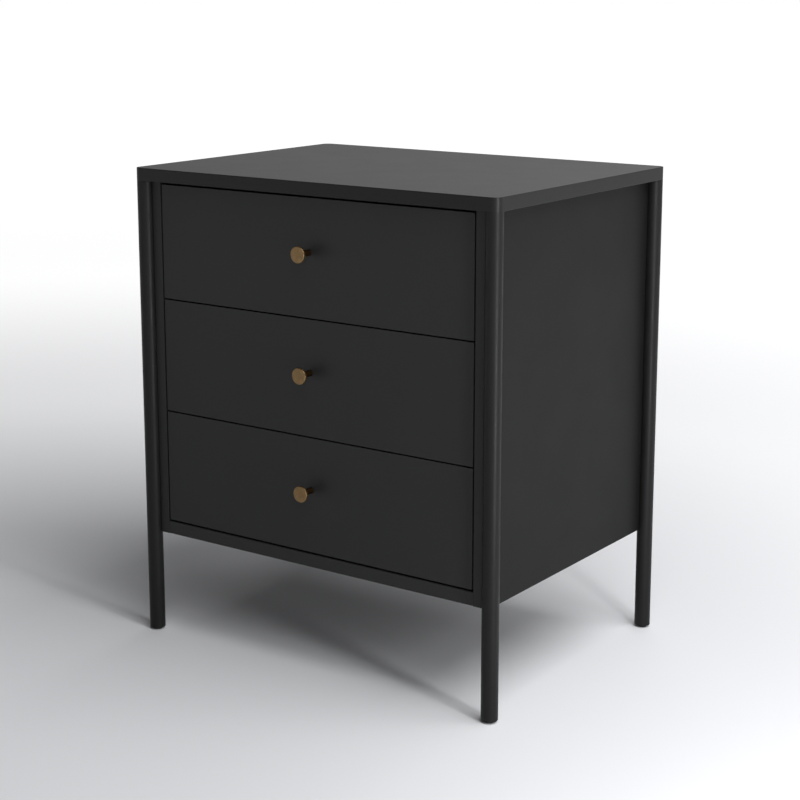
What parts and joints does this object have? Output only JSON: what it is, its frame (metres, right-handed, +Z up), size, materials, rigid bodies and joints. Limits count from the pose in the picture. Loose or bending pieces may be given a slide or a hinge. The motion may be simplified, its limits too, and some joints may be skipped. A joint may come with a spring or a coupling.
{
  "type": "nightstand with drawers",
  "caption": "Straight-sided black nightstand: inset drawers with disc knobs in a case set back between round tube legs, under a flat top with rounded corners.",
  "frame": {"origin": "on the floor, under the centre of the whole outline, knobs included", "axes": "+Z up, the drawers open towards -Y, +X to the right of someone who faces them"},
  "size_m": [0.674, 0.5094, 0.762],
  "materials": {
    "iron": "satin black, hand rubbed",
    "black_board": "satin black lacquer",
    "birch": "clear matt lacquer",
    "zinc_steel": "zinc plated",
    "brass": "aged, turned",
    "nylon": "matt"
  },
  "bodies": {
    "case": {"top_pan": "iron", "top_board": "black_board", "side_skin_left": "iron", "side_board_left": "black_board", "stile_left": "black_board", "side_skin_right": "iron", "side_board_right": "black_board", "stile_right": "black_board", "bottom_rail": "black_board", "bottom_board": "black_board", "back_panel": "black_board", "leg_front_left": "iron", "glide_front_left": "nylon", "leg_back_left": "iron", "glide_back_left": "nylon", "leg_front_right": "iron", "glide_front_right": "nylon", "leg_back_right": "iron", "glide_back_right": "nylon", "lower_slide_case_left": "zinc_steel", "lower_slide_case_right": "zinc_steel", "middle_slide_case_left": "zinc_steel", "middle_slide_case_right": "zinc_steel", "upper_slide_case_left": "zinc_steel", "upper_slide_case_right": "zinc_steel"},
    "lower_drawer": {"lower_drawer_front": "black_board", "lower_drawer_side_left": "birch", "lower_drawer_side_right": "birch", "lower_drawer_back": "birch", "lower_drawer_bottom": "birch", "lower_knob": "brass", "lower_knob_screw": "zinc_steel", "lower_slide_drawer_left": "zinc_steel", "lower_slide_drawer_right": "zinc_steel"},
    "lower_slide_middles": {"lower_slide_middle_left": "zinc_steel", "lower_slide_middle_right": "zinc_steel"},
    "middle_drawer": {"middle_drawer_front": "black_board", "middle_drawer_side_left": "birch", "middle_drawer_side_right": "birch", "middle_drawer_back": "birch", "middle_drawer_bottom": "birch", "middle_knob": "brass", "middle_knob_screw": "zinc_steel", "middle_slide_drawer_left": "zinc_steel", "middle_slide_drawer_right": "zinc_steel"},
    "middle_slide_middles": {"middle_slide_middle_left": "zinc_steel", "middle_slide_middle_right": "zinc_steel"},
    "upper_drawer": {"upper_drawer_front": "black_board", "upper_drawer_side_left": "birch", "upper_drawer_side_right": "birch", "upper_drawer_back": "birch", "upper_drawer_bottom": "birch", "upper_knob": "brass", "upper_knob_screw": "zinc_steel", "upper_slide_drawer_left": "zinc_steel", "upper_slide_drawer_right": "zinc_steel"},
    "upper_slide_middles": {"upper_slide_middle_left": "zinc_steel", "upper_slide_middle_right": "zinc_steel"}
  },
  "joints": [
    {"name": "lower_drawer_travel", "type": "slide", "parent": "case", "child": "lower_drawer", "axis": [0, -1, 0], "range_m": [0, 0.4]},
    {"name": "lower_slide_travel", "type": "slide", "parent": "case", "child": "lower_slide_middles", "axis": [0, -1, 0], "range_m": [0, 0.2]},
    {"name": "middle_drawer_travel", "type": "slide", "parent": "case", "child": "middle_drawer", "axis": [0, -1, 0], "range_m": [0, 0.4]},
    {"name": "middle_slide_travel", "type": "slide", "parent": "case", "child": "middle_slide_middles", "axis": [0, -1, 0], "range_m": [0, 0.2]},
    {"name": "upper_drawer_travel", "type": "slide", "parent": "case", "child": "upper_drawer", "axis": [0, -1, 0], "range_m": [0, 0.4]},
    {"name": "upper_slide_travel", "type": "slide", "parent": "case", "child": "upper_slide_middles", "axis": [0, -1, 0], "range_m": [0, 0.2]}
  ],
  "couplings": [
    {"joint": "lower_slide_travel", "follows": "lower_drawer_travel", "ratio": 0.5},
    {"joint": "middle_slide_travel", "follows": "middle_drawer_travel", "ratio": 0.5},
    {"joint": "upper_slide_travel", "follows": "upper_drawer_travel", "ratio": 0.5}
  ]
}
